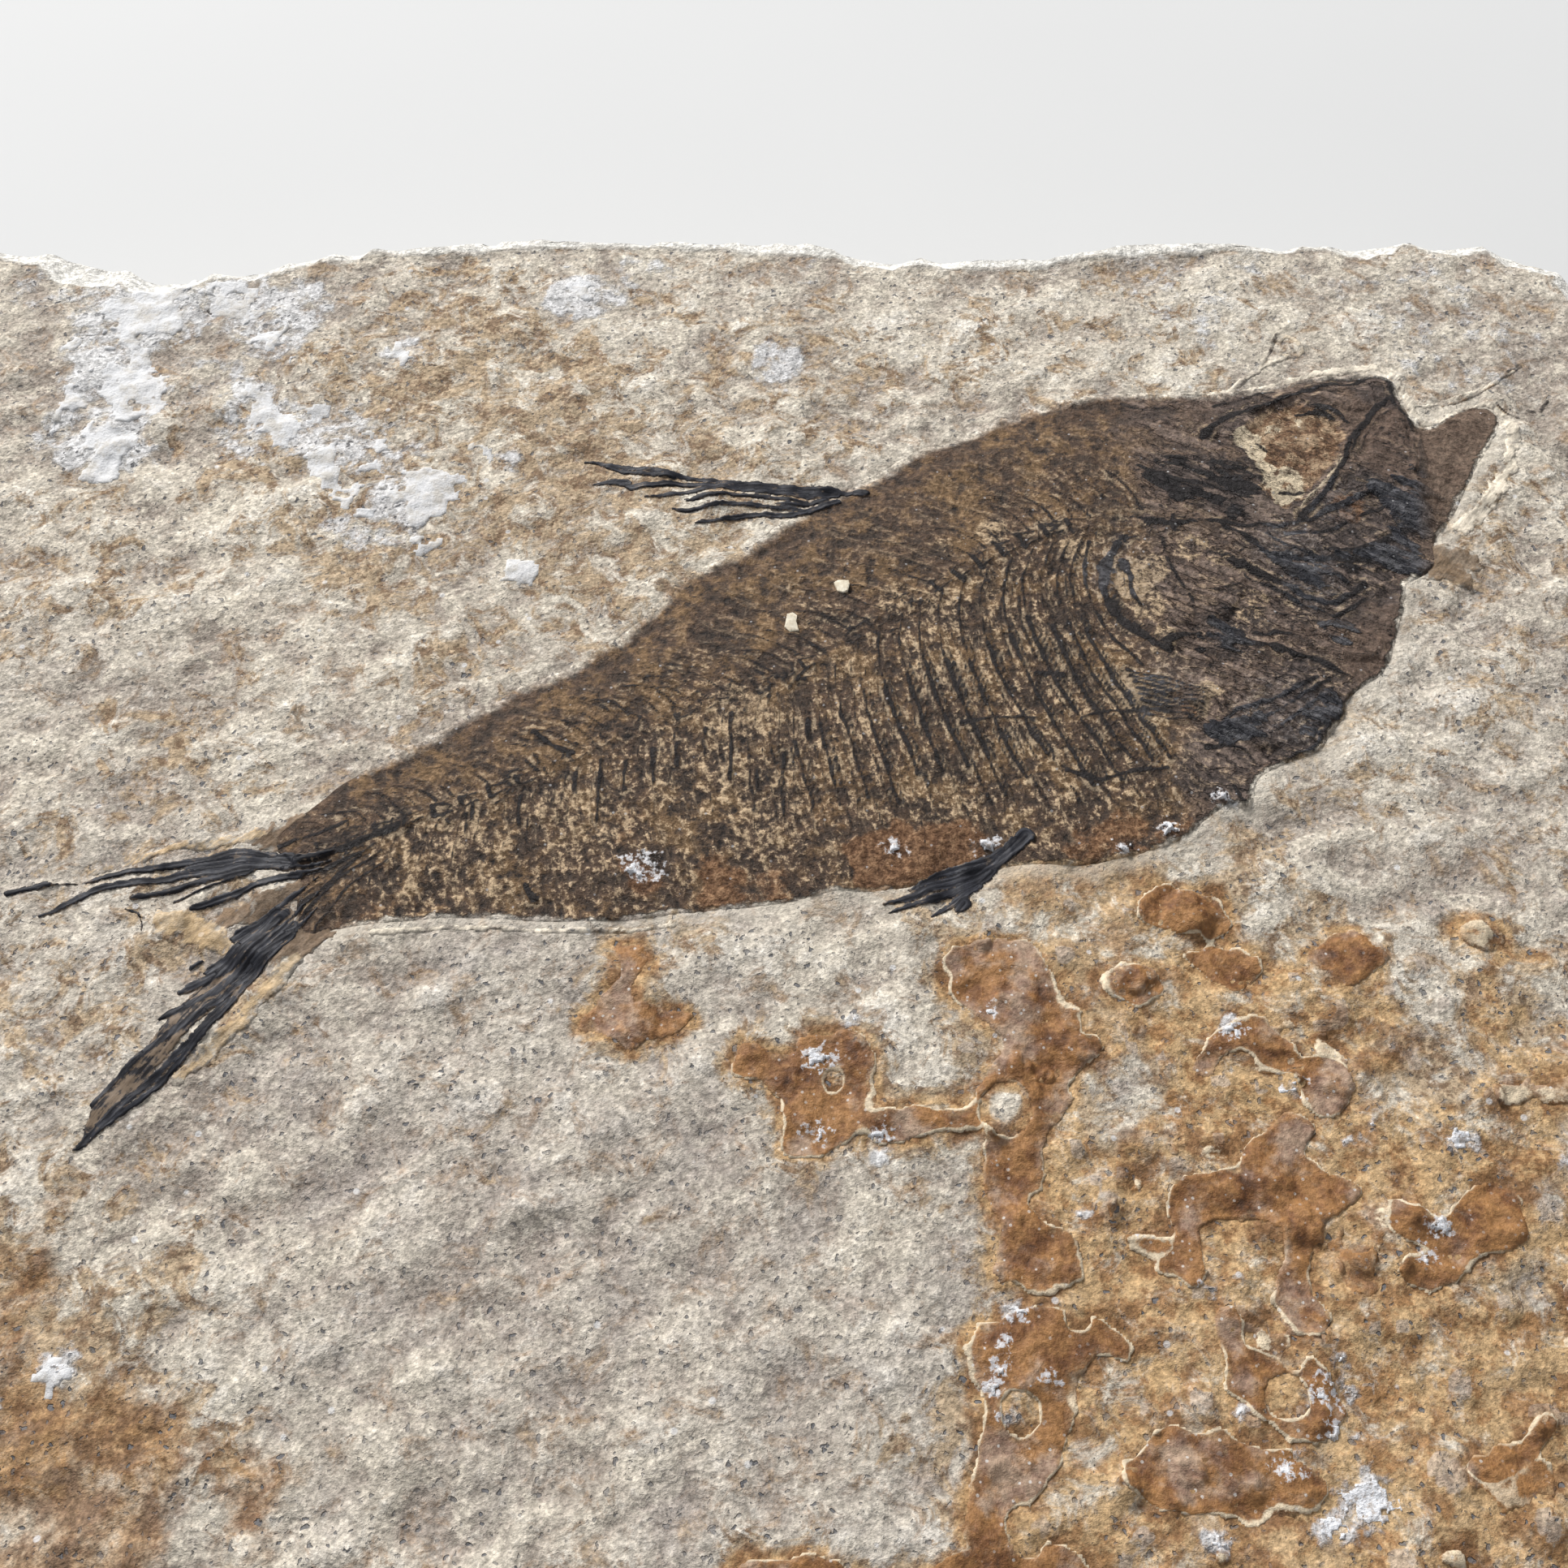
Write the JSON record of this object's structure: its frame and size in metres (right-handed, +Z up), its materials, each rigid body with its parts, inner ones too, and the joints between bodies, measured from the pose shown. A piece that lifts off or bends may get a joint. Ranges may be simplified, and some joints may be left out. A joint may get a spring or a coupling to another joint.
{
  "type": "fossil fish slab",
  "caption": "Split slab of limestone lying flat, with a pressed fossil fish in low relief on its upper face and an iron crust beside it.",
  "frame": {"origin": "middle of the slab's underside, on the surface it rests on", "axes": "+X along the slab's long side, towards the fish's head; +Y across it, towards the fish's back; +Z up out of the fossil's face"},
  "size_m": [0.16, 0.124, 0.0139],
  "materials": {
    "limestone": "dry split limestone, cream to ochre, chalky patches and rust crust",
    "fossil_bone": "brown mineralised skin and bone, satin where it is densest",
    "fossil_ray": "black mineralised fin rays, slightly glossy",
    "pale_chip": "pale cream stone flake"
  },
  "bodies": {
    "root": {"slab": "limestone", "fish_body": "fossil_bone", "dorsal_fin": "fossil_ray", "tail_fin_upper_lobe": "fossil_ray", "tail_fin_lower_lobe": "fossil_ray", "pelvic_fin": "fossil_ray", "chip_upper": "pale_chip", "chip_lower": "pale_chip"}
  },
  "joints": []
}
